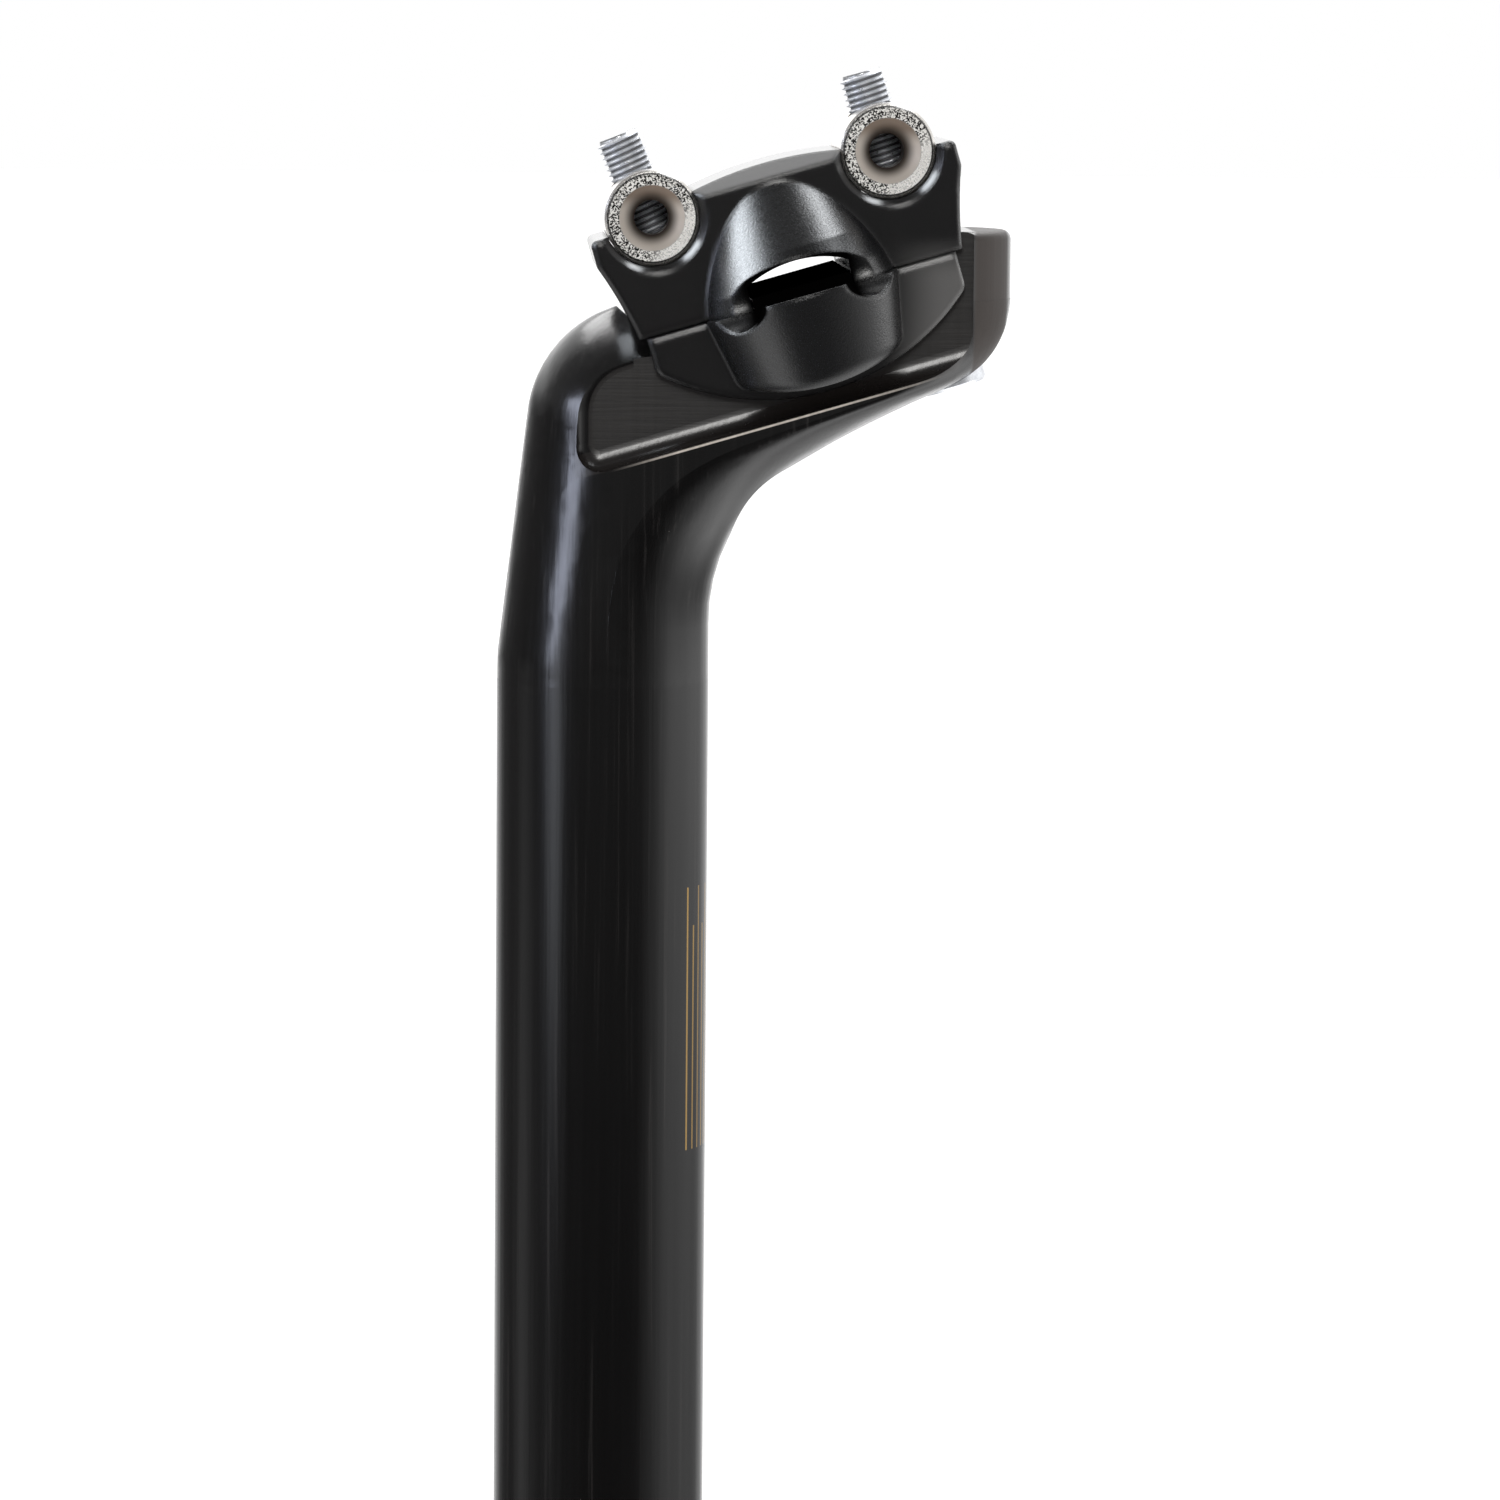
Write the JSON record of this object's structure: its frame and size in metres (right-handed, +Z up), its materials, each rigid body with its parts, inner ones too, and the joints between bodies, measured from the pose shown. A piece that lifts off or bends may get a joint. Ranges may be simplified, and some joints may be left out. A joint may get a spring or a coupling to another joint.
{
  "type": "bicycle seatpost",
  "caption": "Black setback seatpost: round tube, rearward forged head with milled cheeks, and a tilting rail clamp drawn down by slim bolts into bright barrel nuts.",
  "frame": {"origin": "centre of the tube's open lower end, on the tube's axis", "axes": "+Z up the tube towards the saddle, +X to the rear of the bicycle (the side the head is set back to), +Y to the left of a rider"},
  "size_m": [0.0656, 0.0534, 0.3786],
  "materials": {
    "post_black": "satin black anodised, fine brushed lines",
    "clamp_black": "bead-blasted black anodised",
    "nickel": "bright nickel plated",
    "zinc": "bright zinc plated"
  },
  "bodies": {
    "post": {"post": "post_black"},
    "clamp": {"lower_cradle": "clamp_black", "upper_clamp": "clamp_black"},
    "front_screw": {"front_bolt": "zinc", "front_washer": "zinc"},
    "rear_screw": {"rear_bolt": "zinc", "rear_washer": "zinc"},
    "front_nut": {"front_barrel_nut": "nickel"},
    "rear_nut": {"rear_barrel_nut": "nickel"}
  },
  "joints": [
    {"name": "saddle_tilt", "type": "hinge", "parent": "post", "child": "clamp", "pos_m": [0.01967, 0, 0.36661], "axis": [0, 1, 0], "range_deg": [-3, 5]},
    {"name": "front_bolt_swing", "type": "hinge", "parent": "post", "child": "front_screw", "pos_m": [0.01965, 0, 0.32506], "axis": [0, 1, 0], "range_deg": [-0.4, 0.4]},
    {"name": "rear_bolt_swing", "type": "hinge", "parent": "post", "child": "rear_screw", "pos_m": [0.04597, 0, 0.33166], "axis": [0, 1, 0], "range_deg": [-0.6, 0.6]},
    {"name": "front_nut_rock", "type": "hinge", "parent": "clamp", "child": "front_nut", "pos_m": [0.0056, 0, 0.3595], "axis": [0, 1, 0], "range_deg": [-5.6, 3.6]},
    {"name": "rear_nut_rock", "type": "hinge", "parent": "clamp", "child": "rear_nut", "pos_m": [0.03537, 0, 0.36815], "axis": [0, 1, 0], "range_deg": [-5.8, 3.8]}
  ],
  "couplings": [
    {"joint": "front_bolt_swing", "follows": "saddle_tilt", "ratio": -0.034},
    {"joint": "rear_bolt_swing", "follows": "saddle_tilt", "ratio": -0.0763},
    {"joint": "front_nut_rock", "follows": "saddle_tilt", "ratio": -1.034},
    {"joint": "rear_nut_rock", "follows": "saddle_tilt", "ratio": -1.0763}
  ]
}
